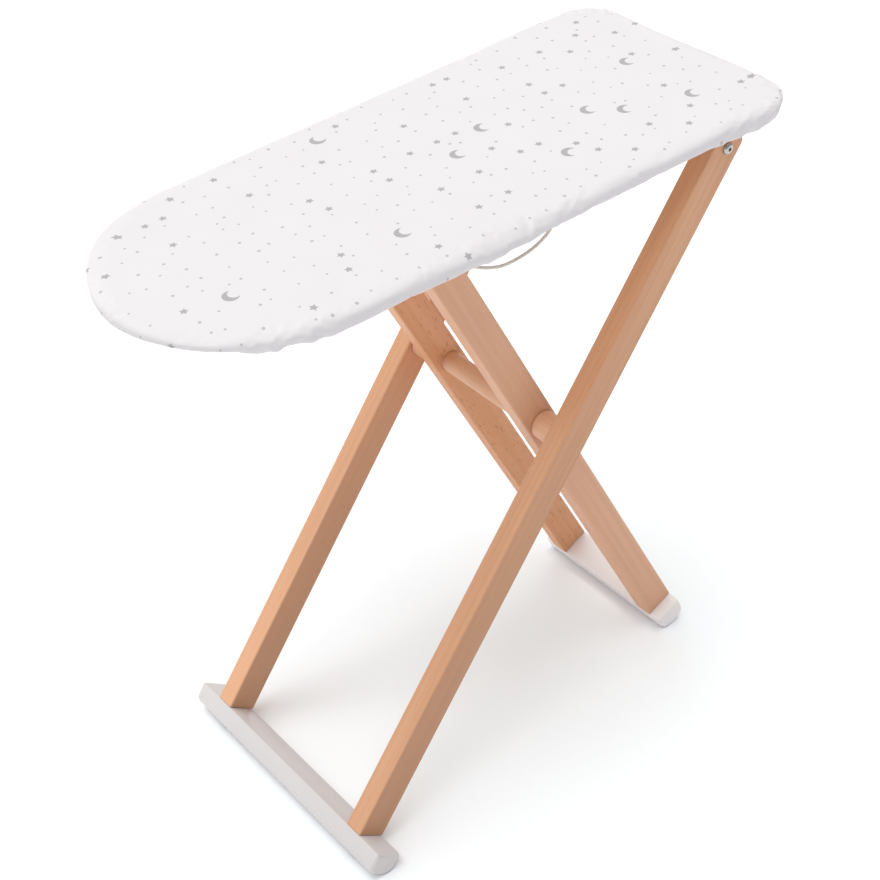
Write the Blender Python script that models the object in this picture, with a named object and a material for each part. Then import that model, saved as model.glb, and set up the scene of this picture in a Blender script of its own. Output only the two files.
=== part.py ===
"""Toy ironing board on folding scissor legs, in metres, +Z up, standing open on the floor.

+X runs from the rounded nose to the square end and -Y is the side the drawstring loop hangs on.
Right is the -Y side and left the +Y side. The outer legs with their foot are the fixed frame;
the inner legs turn on the pivot dowel and the board turns on the two hinge bolts.
"""
import math
from collections import namedtuple

import bmesh
import bpy
from mathutils import Vector
from mathutils.geometry import interpolate_bezier

MM = 0.001
GAP = 0.3                      # air left between pieces that touch, mm
SIDES = (("right", -1.0), ("left", 1.0))

# legs: one stock for all four, mm
LEG_WIDE = 28.0
LEG_THICK = 18.0
LEG_EASE = 0.8
OUTER_TILT = math.radians(51.0)
INNER_TILT = math.radians(65.0)
OUTER_FACE_Y = 105.0
INNER_FACE_Y = 67.5
OUTER_FOOT_X = -186.1          # middle of the outer leg's lower end
OUTER_PIVOT_AT = 368.5         # along the outer leg from its lower end
OUTER_HINGE_AT = 625.2
OUTER_TOP_RADIUS = 14.0
OUTER_BACK_RADIUS = 6.0
TOP_BAR_TO_END = 10.0          # top bar's middle below the inner leg's upper end

# foot bars, mm
FOOT_HIGH = 20.5
FOOT_ROUND = 9.0
FOOT_EASE = 1.5
FOOT_END_ROUND = 4.0
FLOOR_FLAT_DEPTH = 0.6         # planed off the rounded edge the bar stands on
OUTER_FOOT_HALF = 131.0
INNER_FOOT_HALF = 79.0

# pivot, mm
DOWEL_RADIUS = 9.0
DOWEL_SOCKET = 11.0
SPACER_RADIUS = 12.0
TOP_BAR_RADIUS = 7.0
TOP_BAR_SOCKET = 12.0

# board stack, mm
UNDERSIDE_OVER_HINGE = 17.0
PANEL_THICK = 5.5
PAD_THICK = 5.4
COVER_THICK = 0.9
CROWN = 1.0
NOSE_X = -269.0
END_X = 269.0
NOSE_LONG = 130.0
HALF_WIDE_NOSE = 111.0
HALF_WIDE_END = 114.5
CORNER_RADIUS = 28.0
PANEL_INSET = 1.5
PANEL_EASE = 0.4
PANEL_UNDER_EASE = 1.2
PAD_EDGE_RADIUS = 4.4
COVER_EDGE_RADIUS = 6.0
WALL_FOOT = 2.4                # height over the panel's underside where the cover starts to sag
FLAP_FROM = 10.0               # in from the edge, where the hem lies flat under the panel
HEM_WIDE = 20.0
CASING_WIDE = 6.0
CASING_HIGH = 2.0
HEM_DROOP = 3.0                # how far the gathered edge sags below the panel
# places where the cover hangs lower or is pulled tighter: x, y, extra sag, reach along the edge
HEM_SAGS = (
    (-35.0, -112.0, 2.2, 45.0),
    (-150.0, -108.0, 1.6, 50.0),
    (228.0, -114.0, 1.2, 35.0),
    (-258.0, -40.0, -2.2, 75.0),
)

# hinge, mm
BOLT_RADIUS = 2.5
BOLT_HEAD_RADIUS = 4.75
BOLT_HEAD_HIGH = 2.75
BOLT_REACH = 33.0
WASHER_RADIUS = 6.5
WASHER_THICK = 1.0
CLEAT_INNER_Y = 69.0
CLEAT_HALF_LONG = 16.0
CLEAT_ROUND = 11.0
CLEAT_SHOULDER = 7.0           # height of its straight ends
INSERT_RADIUS = 4.0
INSERT_LONG = 12.0
CLEAT_SCREW_X = 10.5
CLEAT_SCREW_LONG = 16.0

# catch blocks the top bar rests in, mm
CATCH_INNER_Y = 18.0
CATCH_OUTER_Y = 42.0
CATCH_AHEAD = 8.0
CATCH_LIP_LONG = 11.0
CATCH_LIP_DROP = 11.0
CATCH_EASE = 1.5
CATCH_LIP_EASE = 2.0
CATCH_PLAY = 0.5
CATCH_SEAT_SCREW_LONG = 12.0
CATCH_LIP_SCREW_LONG = 16.0

# countersunk screws, mm
SCREW_RADIUS = 1.75
SCREW_HEAD_RADIUS = 3.5
FOOT_SCREW_RADIUS = 2.0
FOOT_SCREW_HEAD_RADIUS = 4.0
FOOT_SCREW_LONG = 50.0

# drawstring loop, mm
CORD_RADIUS = 1.05
CORD_STEP = 4.5                # between the points of the tube, along the loop
CURVE_STEPS = 12               # fine steps between two points of the route
# out of the hem, down in a slack bow past the outer leg's face and back into the hem:
# x, y and the distance below the panel
LOOP_ROUTE = (
    (38.0, -97.5, 3.7), (35.5, -100.6, 4.9), (32.5, -103.6, 6.6), (28.5, -105.9, 8.9),
    (22.5, -106.8, 12.3), (15.0, -106.9, 15.6), (6.5, -107.0, 17.8), (-2.0, -107.0, 18.9),
    (-11.0, -107.0, 19.1), (-19.5, -107.0, 18.2), (-27.5, -106.9, 15.7), (-35.0, -106.7, 12.5),
    (-41.5, -105.7, 9.2), (-46.0, -103.2, 6.6), (-49.0, -100.3, 4.9), (-51.0, -97.5, 3.7),
)

Leg = namedtuple("Leg", "corner up across")


def make_leg(middle, tilt, lean):
    """A leg's frame in the XZ plane: its lower front corner, its length and its width direction."""
    up = Vector((lean * math.cos(tilt), math.sin(tilt)))
    across = Vector((math.sin(tilt), -lean * math.cos(tilt)))
    return Leg(Vector(middle) - across * (LEG_WIDE / 2), up, across)


def lowest_of_foot(leg_up, leg_across):
    """How far a foot bar reaches below the middle of its leg's lower end, before the floor flat."""
    down = GAP + FOOT_HIGH - FOOT_ROUND
    reach = []
    for side in (-1.0, 1.0):
        sideways = side * (LEG_WIDE / 2 - FOOT_ROUND)
        reach.append(leg_across.y * sideways - leg_up.y * down - FOOT_ROUND)
    return min(reach)


def leg_middle_z(tilt, lean):
    trial = make_leg((0.0, 0.0), tilt, lean)
    return -lowest_of_foot(trial.up, trial.across) - FLOOR_FLAT_DEPTH


OUTER = make_leg((OUTER_FOOT_X, leg_middle_z(OUTER_TILT, 1.0)), OUTER_TILT, 1.0)
CENTRE = LEG_WIDE / 2


def on_leg(leg, along, over):
    """Point in the XZ plane at a distance along a leg and over its width from the front face."""
    return leg.corner + leg.up * along + leg.across * over


PIVOT = on_leg(OUTER, OUTER_PIVOT_AT, CENTRE)
HINGE = on_leg(OUTER, OUTER_HINGE_AT, CENTRE)
INNER_LOW_Z = leg_middle_z(INNER_TILT, -1.0)
INNER_PIVOT_AT = (PIVOT.y - INNER_LOW_Z) / math.sin(INNER_TILT)
INNER_LOW_X = PIVOT.x + INNER_PIVOT_AT * math.cos(INNER_TILT)
INNER = make_leg((INNER_LOW_X, INNER_LOW_Z), INNER_TILT, -1.0)
TOP_BAR_AT = INNER_PIVOT_AT + (HINGE.y - PIVOT.y) / math.sin(INNER_TILT)
TOP_BAR = on_leg(INNER, TOP_BAR_AT, CENTRE)

UNDERSIDE = HINGE.y + UNDERSIDE_OVER_HINGE
PANEL_TOP = UNDERSIDE + PANEL_THICK
PAD_LOW = PANEL_TOP + GAP
PAD_TOP = PAD_LOW + PAD_THICK
COVER_TOP = PAD_TOP + GAP + COVER_THICK
OUTER_INSIDE_Y = OUTER_FACE_Y - LEG_THICK
INNER_INSIDE_Y = INNER_FACE_Y - LEG_THICK
CLEAT_OUTER_Y = OUTER_INSIDE_Y - WASHER_THICK - 2 * GAP

# origin of each moving group, so that every piece sits on its own joint axis
STILL = Vector((0.0, 0.0, 0.0))
LEG_AXIS = Vector((PIVOT.x, 0.0, PIVOT.y))
BOARD_AXIS = Vector((HINGE.x, 0.0, HINGE.y))

BEECH = (0.78, 0.52, 0.32)
WHITE_PAINT = (0.86, 0.85, 0.85)
PLYWOOD = (0.74, 0.60, 0.42)
FOAM = (0.88, 0.86, 0.80)
COTTON = (0.90, 0.89, 0.90)
CORD = (0.55, 0.50, 0.45)
STEEL = (0.70, 0.70, 0.71)
BRASS = (0.72, 0.55, 0.27)


def clear_scene():
    for item in list(bpy.data.objects):
        bpy.data.objects.remove(item)


def material(name, colour, roughness, metallic=0.0):
    made = bpy.data.materials.get(name)
    if made is None:
        made = bpy.data.materials.new(name)
        made.use_nodes = True
        shader = made.node_tree.nodes["Principled BSDF"]
        shader.inputs["Base Color"].default_value = (*colour, 1.0)
        shader.inputs["Roughness"].default_value = roughness
        shader.inputs["Metallic"].default_value = metallic
    return made


def mesh_object(name, points, faces, finish, origin=STILL):
    """A closed mesh object from points in mm, its origin on the joint axis of its group."""
    mesh = bpy.data.meshes.new(name)
    local = []
    for point in points:
        local.append((Vector(point) - origin) * MM)
    mesh.from_pydata(local, [], faces)
    tidy = bmesh.new()
    tidy.from_mesh(mesh)
    bmesh.ops.recalc_face_normals(tidy, faces=tidy.faces)
    tidy.to_mesh(mesh)
    tidy.free()
    made = bpy.data.objects.new(name, mesh)
    made.location = origin * MM
    if finish is not None:
        mesh.materials.append(finish)
    bpy.context.collection.objects.link(made)
    return made


def loft(name, rings, finish, origin=STILL):
    """Skin a row of equal rings and close both ends with a flat cap."""
    count = len(rings[0])
    points = [point for ring in rings for point in ring]
    faces = [list(range(count))]
    for step in range(len(rings) - 1):
        for here in range(count):
            after = (here + 1) % count
            low = step * count
            high = low + count
            faces.append([low + here, low + after, high + after, high + here])
    last = (len(rings) - 1) * count
    faces.append([last + here for here in range(count)])
    return mesh_object(name, points, faces, finish, origin)


def turned(name, start, axis, profile, finish, origin=STILL, segments=24, bored=False):
    """A solid of revolution; profile is (along the axis, radius) and bored joins its ends up."""
    axis = Vector(axis).normalized()
    side = axis.orthogonal().normalized()
    other = axis.cross(side)
    points = []
    rings = []
    for along, radius in profile:
        middle = Vector(start) + axis * along
        ring = []
        for step in range(segments if radius > 0.0 else 1):
            turn = 2 * math.pi * step / segments
            ring.append(len(points))
            points.append(middle + (side * math.cos(turn) + other * math.sin(turn)) * radius)
        rings.append(ring)
    faces = []
    pairs = list(zip(rings, rings[1:]))
    if bored:
        pairs.append((rings[-1], rings[0]))
    for low, high in pairs:
        for step in range(segments):
            after = (step + 1) % segments
            corners = [low[step % len(low)], low[after % len(low)]]
            corners += [high[after % len(high)], high[step % len(high)]]
            faces.append(list(dict.fromkeys(corners)))
    return mesh_object(name, points, faces, finish, origin)


def rod_profile(length, radius, ease=0.0):
    if ease == 0.0:
        return [(0.0, 0.0), (0.0, radius), (length, radius), (length, 0.0)]
    return [(0.0, 0.0), (0.0, radius - ease), (ease, radius),
            (length - ease, radius), (length, radius - ease), (length, 0.0)]


def bore(start, axis, length, radius, segments=24):
    return turned("cutter", start, axis, rod_profile(length, radius), None, segments=segments)


def cut(target, cutters):
    """Take the cutters out of the target, keep the result as its mesh and drop the cutters."""
    for cutter in cutters:
        modifier = target.modifiers.new("cut", "BOOLEAN")
        modifier.operation = "DIFFERENCE"
        modifier.solver = "EXACT"
        modifier.object = cutter
    bpy.context.view_layer.update()
    finished = target.evaluated_get(bpy.context.evaluated_depsgraph_get())
    mesh = bpy.data.meshes.new_from_object(finished)
    target.modifiers.clear()
    old = target.data
    target.data = mesh
    mesh.name = target.name
    bpy.data.meshes.remove(old)
    for cutter in cutters:
        bpy.data.objects.remove(cutter)


def arc(middle, radius, start, end, steps):
    """Points of an arc in a plane, angles in degrees."""
    points = []
    for step in range(steps + 1):
        turn = math.radians(start + (end - start) * step / steps)
        points.append(Vector((middle[0] + radius * math.cos(turn), middle[1] + radius * math.sin(turn))))
    return points


def signed_area(outline):
    total = 0.0
    for here, after in zip(outline, outline[1:] + outline[:1]):
        total += here.x * after.y - after.x * here.y
    return total / 2


def inward(outline):
    """Mitre direction pointing into the outline at each of its points."""
    turn = 1.0 if signed_area(outline) > 0.0 else -1.0
    count = len(outline)
    directions = []
    for here in range(count):
        before = (outline[here] - outline[here - 1]).normalized()
        after = (outline[(here + 1) % count] - outline[here]).normalized()
        normal = Vector((-before.y, before.x)) + Vector((-after.y, after.x))
        normal = normal.normalized() * turn
        share = max(0.3, normal.dot(Vector((-after.y, after.x)) * turn))
        directions.append(normal / share)
    return directions


def shrink(outline, distance):
    return [point + way * distance for point, way in zip(outline, inward(outline))]


def clip_at_floor(outline):
    """Keep the part of an XZ outline that is above the floor."""
    kept = []
    for here, after in zip(outline, outline[1:] + outline[:1]):
        if here.y >= 0.0:
            kept.append(here)
        if (here.y < 0.0) != (after.y < 0.0):
            share = here.y / (here.y - after.y)
            kept.append(here + (after - here) * share)
    return kept


def slab(name, outline, y_from, y_to, eases, finish, origin=STILL):
    """An XZ outline drawn out along Y; eases is (inset, depth) from each end face inwards."""
    stations = [(y_from + depth, inset) for inset, depth in eases]
    stations += [(y_to - depth, inset) for inset, depth in reversed(eases)]
    rings = []
    for y, inset in stations:
        ring = shrink(outline, inset) if inset > 0.0 else outline
        rings.append([(point.x, y, point.y) for point in ring])
    return loft(name, rings, finish, origin)


def in_space(point, y):
    return Vector((point.x, y, point.y))


def along_leg(leg):
    return Vector((leg.up.x, 0.0, leg.up.y))


def outer_leg_outline():
    """Square lower end; upper end rounded towards the board and eased at the back."""
    top = OUTER_HINGE_AT + OUTER_TOP_RADIUS
    shape = [Vector((0.0, LEG_WIDE)), Vector((0.0, 0.0))]
    shape += arc((OUTER_HINGE_AT, CENTRE), OUTER_TOP_RADIUS, -90.0, 0.0, 8)
    back = (top - OUTER_BACK_RADIUS, LEG_WIDE - OUTER_BACK_RADIUS)
    shape += arc(back, OUTER_BACK_RADIUS, 0.0, 90.0, 5)
    return [on_leg(OUTER, point.x, point.y) for point in shape]


def inner_leg_outline():
    """Square lower end and half-round upper end."""
    middle = TOP_BAR_AT + TOP_BAR_TO_END - CENTRE
    shape = [Vector((0.0, LEG_WIDE)), Vector((0.0, 0.0))]
    shape += arc((middle, CENTRE), CENTRE, -90.0, 90.0, 14)
    return [on_leg(INNER, point.x, point.y) for point in shape]


def leg_screw_hole(leg, y):
    start = in_space(on_leg(leg, -1.0, CENTRE), y)
    return bore(start, along_leg(leg), FOOT_SCREW_LONG - FOOT_HIGH + 3.0, FOOT_SCREW_RADIUS + GAP, 16)


def outer_legs(wood):
    """Pair of outer legs: a blind socket for the dowel, a bolt hole and a screw hole from below."""
    eases = [(LEG_EASE, 0.0), (0.0, LEG_EASE)]
    for side, sign in SIDES:
        low, high = sorted((sign * OUTER_INSIDE_Y, sign * OUTER_FACE_Y))
        leg = slab("outer_leg_" + side, outer_leg_outline(), low, high, eases, wood)
        outwards = (0.0, sign, 0.0)
        socket_from = in_space(PIVOT, sign * (OUTER_INSIDE_Y - 1.0))
        bolt_from = in_space(HINGE, sign * (OUTER_INSIDE_Y - 1.0))
        cut(leg, [
            bore(socket_from, outwards, DOWEL_SOCKET + 1.0, DOWEL_RADIUS + GAP),
            bore(bolt_from, outwards, LEG_THICK + 2.0, BOLT_RADIUS + 0.5),
            leg_screw_hole(OUTER, sign * (OUTER_FACE_Y - LEG_THICK / 2)),
        ])


def inner_legs(wood):
    """Pair of inner legs: bored through for the dowel, a socket for the top bar."""
    eases = [(LEG_EASE, 0.0), (0.0, LEG_EASE)]
    for side, sign in SIDES:
        low, high = sorted((sign * INNER_INSIDE_Y, sign * INNER_FACE_Y))
        leg = slab("inner_leg_" + side, inner_leg_outline(), low, high, eases, wood, LEG_AXIS)
        outwards = (0.0, sign, 0.0)
        pivot_from = in_space(PIVOT, sign * (INNER_INSIDE_Y - 1.0))
        bar_from = in_space(TOP_BAR, sign * (INNER_INSIDE_Y - 1.0))
        cut(leg, [
            bore(pivot_from, outwards, LEG_THICK + 2.0, DOWEL_RADIUS + GAP),
            bore(bar_from, outwards, TOP_BAR_SOCKET + 1.0, TOP_BAR_RADIUS + GAP),
            leg_screw_hole(INNER, sign * (INNER_FACE_Y - LEG_THICK / 2)),
        ])


def foot_outline(leg):
    """Bar section square to the leg, lower edges rounded over, planed flat where it stands."""
    low = -GAP - FOOT_HIGH
    top = -GAP
    shape = arc((low + FOOT_ROUND, LEG_WIDE - FOOT_ROUND), FOOT_ROUND, 90.0, 180.0, 8)
    shape += arc((low + FOOT_ROUND, FOOT_ROUND), FOOT_ROUND, 180.0, 270.0, 8)
    shape += arc((top - FOOT_EASE, FOOT_EASE), FOOT_EASE, 270.0, 360.0, 2)
    shape += arc((top - FOOT_EASE, LEG_WIDE - FOOT_EASE), FOOT_EASE, 0.0, 90.0, 2)
    return clip_at_floor([on_leg(leg, point.x, point.y) for point in shape])


def foot_screw_recess(leg, y):
    start = in_space(on_leg(leg, -GAP - FOOT_HIGH - 1.0, CENTRE), y)
    head = FOOT_SCREW_HEAD_RADIUS + GAP
    shank = FOOT_SCREW_RADIUS + GAP
    profile = [(0.0, 0.0), (0.0, head), (1.6, head), (1.6 + head - shank, shank),
               (FOOT_HIGH + 3.0, shank), (FOOT_HIGH + 3.0, 0.0)]
    return turned("cutter", start, along_leg(leg), profile, None, segments=16)


def foot_bar(name, leg, half_long, screw_y, paint, origin):
    eases = [(0.55 * FOOT_END_ROUND, 0.0), (0.15 * FOOT_END_ROUND, 0.35 * FOOT_END_ROUND),
             (0.0, FOOT_END_ROUND)]
    bar = slab(name, foot_outline(leg), -half_long, half_long, eases, paint, origin)
    cut(bar, [foot_screw_recess(leg, sign * screw_y) for _, sign in SIDES])


def cross_recess(start, axis, reach, depth):
    """A plus-shaped cutter for a screw head."""
    axis = Vector(axis).normalized()
    side = axis.orthogonal().normalized()
    other = axis.cross(side)
    half = 0.22 * reach
    corners = []
    for along, over in ((1.0, 0.0), (0.0, 1.0), (-1.0, 0.0), (0.0, -1.0)):
        tip = Vector((along, over))
        wide = Vector((-over, along))
        corners += [tip * reach - wide * half, tip * reach + wide * half, tip * half + wide * half]
    rings = []
    for along in (-0.5, depth):
        middle = Vector(start) + axis * along
        rings.append([middle + side * corner.x + other * corner.y for corner in corners])
    return loft("cutter", rings, None)


def countersunk_screw(name, start, axis, length, radius, head_radius, steel, origin):
    """A wood screw with its head at start and its point along the axis."""
    taper = head_radius - radius
    profile = [(0.0, 0.0), (0.0, head_radius), (0.3, head_radius), (0.3 + taper, radius),
               (length - 3 * radius, radius), (length, 0.0)]
    screw = turned(name, start, axis, profile, steel, origin, segments=16)
    cut(screw, [cross_recess(start, axis, 0.55 * head_radius, 0.4 * head_radius)])


def foot_screws(prefix, leg, screw_y, steel, origin):
    for side, sign in SIDES:
        start = in_space(on_leg(leg, -GAP - FOOT_HIGH + 0.5, CENTRE), sign * screw_y)
        countersunk_screw(prefix + "_screw_" + side, start, along_leg(leg), FOOT_SCREW_LONG,
                          FOOT_SCREW_RADIUS, FOOT_SCREW_HEAD_RADIUS, steel, origin)


def pivot_parts(wood):
    """The dowel the legs cross on, and a turned ring between each outer and inner leg."""
    half = OUTER_INSIDE_Y + DOWEL_SOCKET - 0.5
    turned("pivot_dowel", in_space(PIVOT, -half), (0.0, 1.0, 0.0),
           rod_profile(2 * half, DOWEL_RADIUS, 0.6), wood, segments=32)
    length = OUTER_INSIDE_Y - INNER_FACE_Y - 2 * GAP
    hole = DOWEL_RADIUS + GAP
    ring = [(0.0, hole), (0.0, SPACER_RADIUS - 0.6), (0.6, SPACER_RADIUS),
            (length - 0.6, SPACER_RADIUS), (length, SPACER_RADIUS - 0.6), (length, hole)]
    for side, sign in SIDES:
        start = in_space(PIVOT, sign * (INNER_FACE_Y + GAP))
        turned("pivot_spacer_" + side, start, (0.0, sign, 0.0), ring, wood, segments=32, bored=True)


def top_bar(wood):
    half = INNER_INSIDE_Y + TOP_BAR_SOCKET - 0.5
    turned("inner_top_bar", in_space(TOP_BAR, -half), (0.0, 1.0, 0.0),
           rod_profile(2 * half, TOP_BAR_RADIUS, 0.6), wood, LEG_AXIS, segments=28)


def board_outline():
    """Plan outline of the covered board, counter-clockwise from the square end's right corner."""
    shape = arc((END_X - CORNER_RADIUS, -HALF_WIDE_END + CORNER_RADIUS), CORNER_RADIUS, -90.0, 0.0, 6)
    edge = HALF_WIDE_END - CORNER_RADIUS
    shape += [Vector((END_X, edge * share)) for share in (-0.5, 0.0, 0.5)]
    shape += arc((END_X - CORNER_RADIUS, HALF_WIDE_END - CORNER_RADIUS), CORNER_RADIUS, 0.0, 90.0, 6)
    side_from = END_X - CORNER_RADIUS
    side_to = NOSE_X + NOSE_LONG
    side = []
    for step in range(1, 8):
        share = step / 8
        half = HALF_WIDE_END + (HALF_WIDE_NOSE - HALF_WIDE_END) * share
        side.append(Vector((side_from + (side_to - side_from) * share, half)))
    shape += side
    for turn in range(90, 271, 9):
        angle = math.radians(turn)
        shape.append(Vector((side_to + NOSE_LONG * math.cos(angle), HALF_WIDE_NOSE * math.sin(angle))))
    shape += [Vector((point.x, -point.y)) for point in reversed(side)]
    return shape


def spine_point(point):
    """Nearest place on the board's middle line, kept clear of both ends."""
    low = NOSE_X + NOSE_LONG
    high = END_X - HALF_WIDE_END
    return Vector((min(max(point.x, low), high), 0.0))


def towards_spine(outline, share):
    return [point.lerp(spine_point(point), share) for point in outline]


def level(outline, z):
    return [(point.x, point.y, z) for point in outline]


def hem_droop(point):
    """Sag of the cover's lower edge at a place on the outline."""
    sag = HEM_DROOP
    for x, y, extra, reach in HEM_SAGS:
        away = (point - Vector((x, y))).length / reach
        sag += extra * math.exp(-away * away)
    return sag


def sagging_rings(outline, profile, droops):
    """Rings of the gathered edge; profile is (inset, height, share of the sag)."""
    rings = []
    for inset, z, share in profile:
        ring = shrink(outline, inset)
        rings.append([(point.x, point.y, z - share * droop) for point, droop in zip(ring, droops)])
    return rings


def crowned_rings(edge_ring, z, crown):
    """Rings over a top face, from the middle out to its edge, rising by the crown."""
    rings = []
    for share in (0.9, 0.6, 0.35, 0.15):
        rise = crown * (1.0 - (1.0 - share) ** 2)
        rings.append(level(towards_spine(edge_ring, share), z + rise))
    rings.append(level(edge_ring, z))
    return rings


def shell_rings(outline, profile):
    """Rings round the board's side; profile is (inset from the outline, height)."""
    return [level(shrink(outline, inset) if inset > 0.0 else outline, z) for inset, z in profile]


def rounded_edge(inset, z_top, radius, steps=4):
    """Profile of a rounded upper edge, from the top face down to the side wall."""
    points = []
    for step in range(steps + 1):
        turn = math.pi / 2 * step / steps
        points.append((inset + radius * (1.0 - math.sin(turn)), z_top - radius * (1.0 - math.cos(turn))))
    return points


def cover(cotton):
    """Cotton cover: over the pad, down the sides and under the panel to a gathered hem."""
    outline = board_outline()
    droops = [hem_droop(point) for point in outline]
    under = UNDERSIDE - GAP
    flap = under - COVER_THICK
    inside_top = COVER_TOP - COVER_THICK
    outer_edge = rounded_edge(0.0, COVER_TOP, COVER_EDGE_RADIUS)
    inner_edge = rounded_edge(COVER_THICK, inside_top, COVER_EDGE_RADIUS - COVER_THICK)
    outer_top = crowned_rings(shrink(outline, outer_edge[0][0]), COVER_TOP, CROWN)
    inner_top = crowned_rings(shrink(outline, inner_edge[0][0]), inside_top, CROWN)
    outer_wall = outer_edge[1:] + [(0.0, UNDERSIDE + WALL_FOOT)]
    inner_wall = inner_edge[1:] + [(COVER_THICK, UNDERSIDE + WALL_FOOT)]
    sag_out = [(0.3, under, 0.5), (1.6, under, 1.0), (4.4, under, 1.0), (7.4, flap, 0.35)]
    fold = under + COVER_THICK
    sag_in = [(7.0, under, 0.35), (4.2, fold, 1.0), (2.4, fold, 1.0), (1.2, under, 0.5)]
    casing = HEM_WIDE - CASING_WIDE
    casing_low = under - CASING_HIGH
    hem = [(FLAP_FROM, flap), (casing, flap), (casing + 1.0, casing_low), (HEM_WIDE - 1.0, casing_low),
           (HEM_WIDE, under - CASING_HIGH / 2), (HEM_WIDE - 1.0, under), (FLAP_FROM, under)]
    rings = outer_top + shell_rings(outline, outer_wall)
    rings += sagging_rings(outline, sag_out, droops)
    rings += shell_rings(outline, hem)
    rings += sagging_rings(outline, sag_in, droops)
    rings += shell_rings(outline, list(reversed(inner_wall)))
    rings += list(reversed(inner_top))
    loft("fabric_cover", rings, cotton, BOARD_AXIS)


def pad(foam):
    outline = shrink(board_outline(), PANEL_INSET)
    edge = rounded_edge(0.0, PAD_TOP, PAD_EDGE_RADIUS, 3)
    rings = crowned_rings(shrink(outline, edge[0][0]), PAD_TOP, CROWN)
    rings += shell_rings(outline, edge[1:] + [(0.3, PAD_LOW)])
    loft("foam_pad", rings, foam, BOARD_AXIS)


def board_screw_places():
    """Every screw driven down through the panel: name, x, y and length."""
    places = []
    lip_x = catch_lip_x() + CATCH_LIP_LONG / 2
    for side, sign in SIDES:
        cleat_y = sign * (CLEAT_INNER_Y + CLEAT_OUTER_Y) / 2
        catch_y = sign * (CATCH_INNER_Y + CATCH_OUTER_Y) / 2
        cleat = "cleat_screw_" + side
        catch = "catch_screw_" + side
        places.append((cleat + "_front", HINGE.x - CLEAT_SCREW_X, cleat_y, CLEAT_SCREW_LONG))
        places.append((cleat + "_back", HINGE.x + CLEAT_SCREW_X, cleat_y, CLEAT_SCREW_LONG))
        places.append((catch + "_front", TOP_BAR.x, catch_y, CATCH_SEAT_SCREW_LONG))
        places.append((catch + "_back", lip_x, catch_y, CATCH_LIP_SCREW_LONG))
    return places


def screw_cutter(x, y, length):
    head = SCREW_HEAD_RADIUS + GAP
    shank = SCREW_RADIUS + GAP
    profile = [(0.0, 0.0), (0.0, head), (1.4, head), (1.4 + head - shank, shank),
               (length + 2.0, shank), (length + 2.0, 0.0)]
    return turned("cutter", (x, y, PANEL_TOP + 1.0), (0.0, 0.0, -1.0), profile, None, segments=16)


def panel(plywood):
    outline = shrink(board_outline(), PANEL_INSET)
    profile = [(PANEL_EASE, PANEL_TOP), (0.0, PANEL_TOP - PANEL_EASE),
               (0.0, UNDERSIDE + PANEL_UNDER_EASE), (PANEL_UNDER_EASE, UNDERSIDE)]
    plate = loft("board_panel", shell_rings(outline, profile), plywood, BOARD_AXIS)
    cut(plate, [screw_cutter(x, y, length) for _, x, y, length in board_screw_places()])


def board_screws(steel):
    for name, x, y, length in board_screw_places():
        countersunk_screw(name, (x, y, PANEL_TOP - 0.3), (0.0, 0.0, -1.0), length,
                          SCREW_RADIUS, SCREW_HEAD_RADIUS, steel, BOARD_AXIS)


def cut_board_screws(block, wanted):
    cutters = []
    for name, x, y, length in board_screw_places():
        if wanted in name:
            cutters.append(screw_cutter(x, y, length))
    cut(block, cutters)


def hinge_cleats(wood):
    """Block under the panel beside each outer leg; the hinge bolt screws into its insert."""
    top = UNDERSIDE - GAP
    shape = [Vector((HINGE.x + CLEAT_HALF_LONG, top)), Vector((HINGE.x - CLEAT_HALF_LONG, top))]
    shape += [Vector((HINGE.x - CLEAT_HALF_LONG, top - CLEAT_SHOULDER))]
    shape += arc((HINGE.x, HINGE.y), CLEAT_ROUND, 190.0, 350.0, 10)
    shape += [Vector((HINGE.x + CLEAT_HALF_LONG, top - CLEAT_SHOULDER))]
    for side, sign in SIDES:
        low, high = sorted((sign * CLEAT_INNER_Y, sign * CLEAT_OUTER_Y))
        cleat = slab("hinge_cleat_" + side, shape, low, high, [(0.5, 0.0), (0.0, 0.5)], wood, BOARD_AXIS)
        socket_from = in_space(HINGE, sign * (CLEAT_OUTER_Y + 1.0))
        cut(cleat, [bore(socket_from, (0.0, -sign, 0.0), INSERT_LONG + 2.5, INSERT_RADIUS + GAP, 20)])
        cut_board_screws(cleat, "cleat_screw_" + side)


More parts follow.
